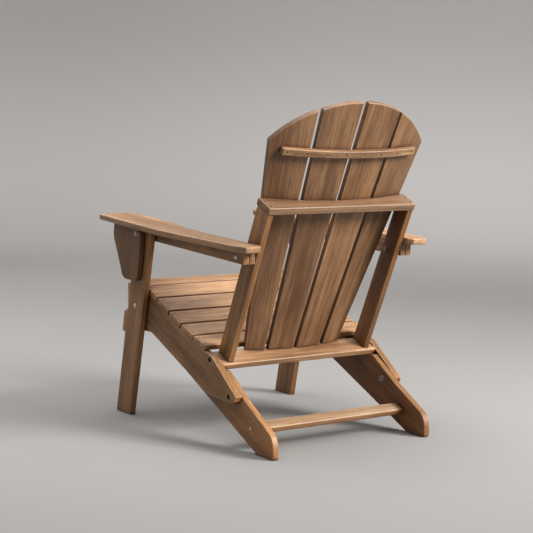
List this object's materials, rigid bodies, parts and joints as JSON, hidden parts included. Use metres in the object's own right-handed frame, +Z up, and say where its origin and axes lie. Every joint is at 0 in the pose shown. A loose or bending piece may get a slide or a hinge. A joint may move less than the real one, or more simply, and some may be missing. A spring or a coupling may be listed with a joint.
{
  "type": "adirondack chair",
  "caption": "Wooden garden armchair with wide flat arms, a sloping slatted seat and a reclined, concave, round-topped slatted back.",
  "frame": {"origin": "on the ground, at the bottom centre of the chair's bounding box", "axes": "+X towards the sitter's left, -Y is the way the chair faces, +Y towards the back, +Z up"},
  "size_m": [0.734, 0.9672, 0.986],
  "materials": {
    "rail_wood": "satin oiled hardwood",
    "slat_wood": "satin oiled hardwood",
    "back_wood": "satin oiled hardwood",
    "arm_wood": "satin oiled hardwood",
    "bolt_steel": "bright zinc",
    "screw_steel": "dark steel"
  },
  "bodies": {
    "root": {"seat_rail_left": "rail_wood", "seat_rail_right": "rail_wood", "rear_leg_left": "rail_wood", "rear_leg_right": "rail_wood", "front_leg_left": "rail_wood", "front_leg_right": "rail_wood", "corbel_left": "rail_wood", "corbel_right": "rail_wood", "upright_left": "rail_wood", "upright_right": "rail_wood", "arm_rail_outer_left": "rail_wood", "arm_rail_outer_right": "rail_wood", "arm_rail_inner_left": "rail_wood", "arm_rail_inner_right": "rail_wood", "front_crossbar": "rail_wood", "seat_apron": "slat_wood", "seat_slat_1": "slat_wood", "seat_slat_2": "slat_wood", "seat_slat_3": "slat_wood", "seat_slat_4": "slat_wood", "seat_slat_5": "slat_wood", "seat_slat_6": "slat_wood", "seat_slat_7": "slat_wood", "rear_stretcher": "slat_wood", "lower_back_board": "back_wood", "middle_back_board": "back_wood", "back_slat_1": "back_wood", "back_slat_2": "back_wood", "back_slat_3": "back_wood", "back_slat_4": "back_wood", "top_batten": "back_wood", "arm_left": "arm_wood", "arm_right": "arm_wood", "leg_bolts": "bolt_steel", "leg_nuts": "bolt_steel", "leg_washers": "bolt_steel", "arm_front_bolts": "bolt_steel", "arm_front_nuts": "bolt_steel", "arm_rear_bolts": "bolt_steel", "arm_rear_nuts": "bolt_steel", "arm_washers": "bolt_steel", "back_bolts": "bolt_steel", "rear_leg_bolts": "bolt_steel", "rear_leg_nuts": "bolt_steel", "stretcher_screws": "bolt_steel", "seat_screws": "screw_steel", "apron_screws": "screw_steel", "crossbar_screws": "screw_steel", "batten_screws": "screw_steel", "board_screws": "screw_steel", "upright_screws": "screw_steel", "arm_screws": "screw_steel", "corbel_screws": "screw_steel", "rear_leg_screws": "screw_steel"}
  },
  "joints": []
}
